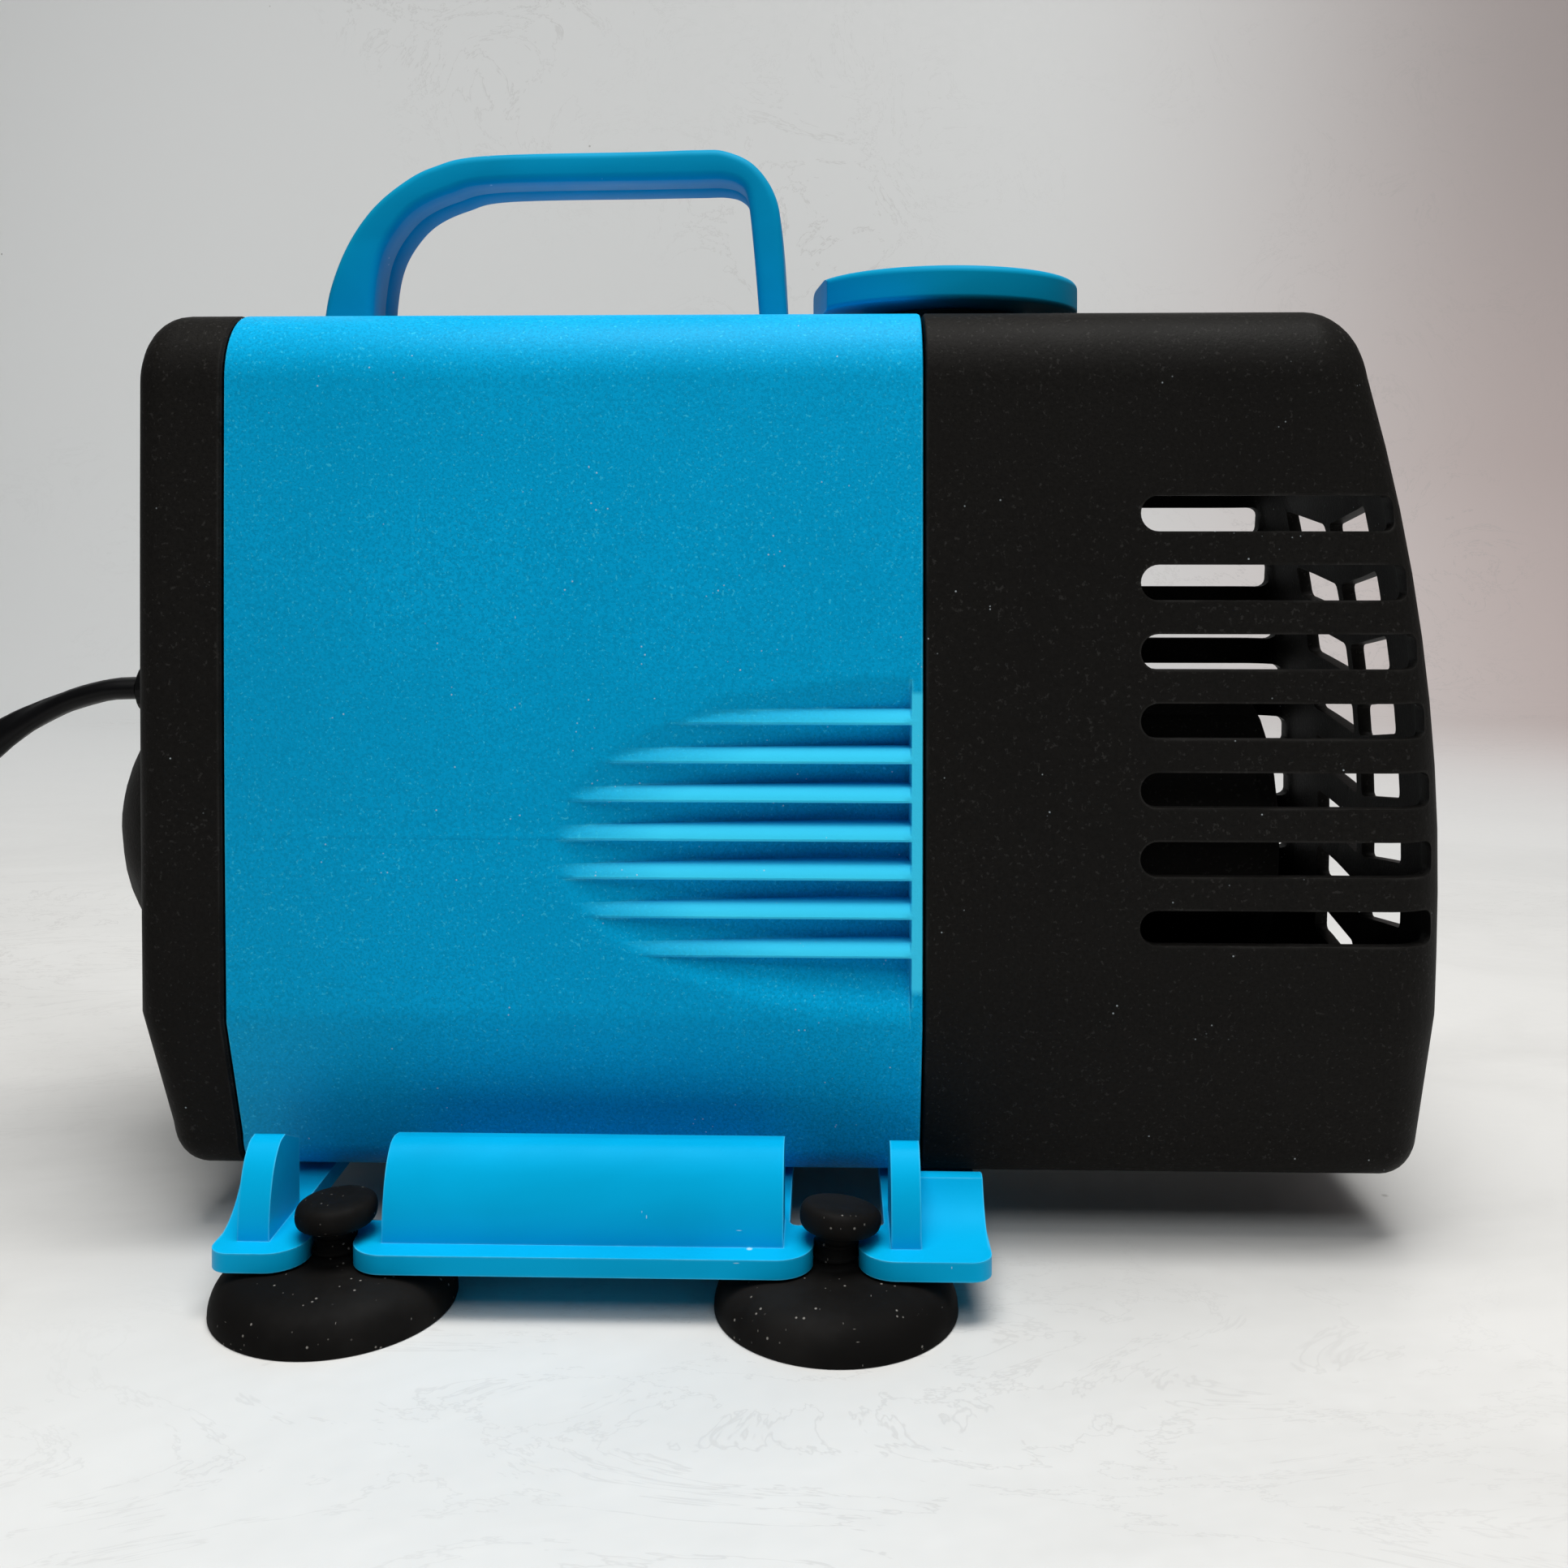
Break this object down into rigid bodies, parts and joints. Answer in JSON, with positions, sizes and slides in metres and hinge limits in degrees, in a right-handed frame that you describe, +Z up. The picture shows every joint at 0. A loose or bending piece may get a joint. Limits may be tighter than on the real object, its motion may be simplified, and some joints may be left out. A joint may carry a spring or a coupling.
{
  "type": "submersible pump",
  "caption": "Submersible pump with a slotted strainer, louvred motor housing, carry handle, outlet cap, suction-cup base and mains cord.",
  "frame": {"origin": "under the middle of the pump without its cord, on the surface that the suction cups stand on", "axes": "+X along the motor's axis towards the strainer, -Y towards the side that faces the viewer, +Z up"},
  "size_m": [0.3105, 0.1261, 0.142],
  "materials": {
    "housing_blue": "fine-grained matte",
    "trim_blue": "smooth satin",
    "cover_black": "fine-grained satin",
    "cup_rubber": "matte",
    "seal_rubber": "matte",
    "shaft_ceramic": "polished ceramic",
    "ferrite": "ground ferrite",
    "impeller_plastic": "satin",
    "lamination_steel": "stacked sheet",
    "bobbin_nylon": "satin",
    "enamelled_copper": "enamelled wire",
    "cord_pvc": "satin cable sheath",
    "plated_pin": "plated"
  },
  "bodies": {
    "pump": {"motor_housing": "housing_blue", "rear_cover": "cover_black", "carry_handle": "trim_blue", "base_plate": "trim_blue", "rotor_can": "cover_black", "pump_chamber": "cover_black", "chamber_cover": "cover_black", "chamber_seal": "seal_rubber", "shaft": "shaft_ceramic", "shaft_bush_rear": "seal_rubber", "shaft_bush_front": "seal_rubber", "stator_core": "lamination_steel", "coil_bobbin_near": "bobbin_nylon", "coil_bobbin_far": "bobbin_nylon", "coil_winding_near": "enamelled_copper", "coil_winding_far": "enamelled_copper", "cable_gland": "cord_pvc", "power_cord": "cord_pvc", "cord_tail": "cord_pvc", "cord_coil": "cord_pvc", "cord_tie": "cord_pvc", "plug_body": "cord_pvc", "plug_pin_near": "plated_pin", "plug_pin_far": "plated_pin"},
    "strainer": {"strainer_cover": "cover_black"},
    "rotor": {"rotor_magnet": "ferrite", "impeller": "impeller_plastic"},
    "cap_seal": {"outlet_cap_seal": "seal_rubber"},
    "cap": {"outlet_cap": "trim_blue"},
    "cup_rear_near": {"suction_cup_rear_near": "cup_rubber"},
    "cup_rear_far": {"suction_cup_rear_far": "cup_rubber"},
    "cup_front_near": {"suction_cup_front_near": "cup_rubber"},
    "cup_front_far": {"suction_cup_front_far": "cup_rubber"}
  },
  "joints": [
    {"name": "strainer_pull", "type": "slide", "parent": "pump", "child": "strainer", "axis": [1, 0, 0], "range_m": [0, 0.06]},
    {"name": "rotor_spin", "type": "hinge", "parent": "pump", "child": "rotor", "pos_m": [0, 0, 0.0485], "axis": [1, 0, 0], "continuous": true},
    {"name": "cap_lift", "type": "slide", "parent": "pump", "child": "cap_seal", "axis": [0, 0, 1], "range_m": [0, 0.0064]},
    {"name": "cap_turn", "type": "hinge", "parent": "cap_seal", "child": "cap", "pos_m": [0.0273, 0, 0.12], "axis": [0, 0, 1], "range_deg": [0, 900]},
    {"name": "cup_rear_near_slide", "type": "slide", "parent": "pump", "child": "cup_rear_near", "axis": [0, -1, 0], "range_m": [0, 0.01]},
    {"name": "cup_rear_far_slide", "type": "slide", "parent": "pump", "child": "cup_rear_far", "axis": [0, 1, 0], "range_m": [0, 0.01]},
    {"name": "cup_front_near_slide", "type": "slide", "parent": "pump", "child": "cup_front_near", "axis": [0, -1, 0], "range_m": [0, 0.01]},
    {"name": "cup_front_far_slide", "type": "slide", "parent": "pump", "child": "cup_front_far", "axis": [0, 1, 0], "range_m": [0, 0.01]}
  ],
  "couplings": [
    {"joint": "cap_lift", "follows": "cap_turn", "m_per_rad": 0.00039789}
  ]
}
